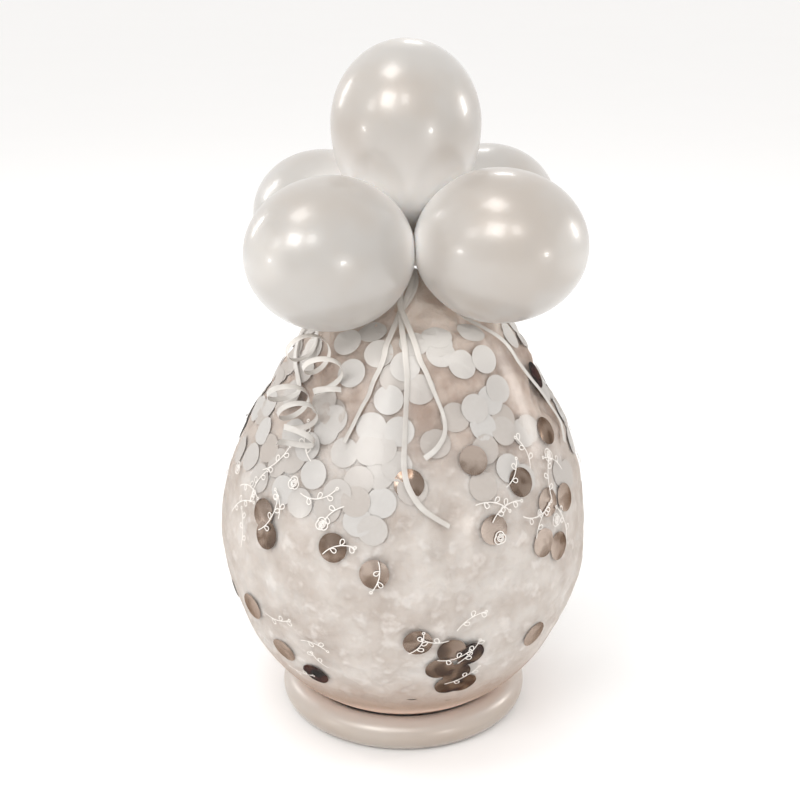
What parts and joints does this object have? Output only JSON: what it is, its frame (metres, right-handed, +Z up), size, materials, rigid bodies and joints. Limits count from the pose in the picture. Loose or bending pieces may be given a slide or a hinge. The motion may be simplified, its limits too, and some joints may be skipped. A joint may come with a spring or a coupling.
{
  "type": "clear bubble balloon",
  "caption": "Clear stuffed gift balloon standing on a pearl ring balloon, its gathered neck topped by a cluster of small pearl balloons and curling ribbon tails.",
  "frame": {"origin": "centre of the base ring on the surface that it stands on", "axes": "+Z up along the balloon, -Y towards the viewer, +X to the viewer's right"},
  "size_m": [0.34, 0.34, 0.614],
  "materials": {
    "pearl_latex": "pearl, satin gloss",
    "clear_film": "clear, glossy",
    "ribbon": "satin"
  },
  "bodies": {
    "root": {"base_ring": "pearl_latex", "clear_balloon": "clear_film", "neck_tie": "ribbon", "pearl_balloon_top": "pearl_latex", "pearl_balloon_front_left": "pearl_latex", "pearl_balloon_front_right": "pearl_latex", "pearl_balloon_back_right": "pearl_latex", "pearl_balloon_back_left": "pearl_latex", "ribbon_left": "ribbon", "ribbon_middle": "ribbon", "ribbon_right": "ribbon", "ribbon_far_right": "ribbon", "ribbon_upper_curl_stem": "ribbon", "ribbon_lower_curl_stem": "ribbon", "ribbon_upper_curl": "ribbon", "ribbon_lower_curl": "ribbon"}
  },
  "joints": []
}
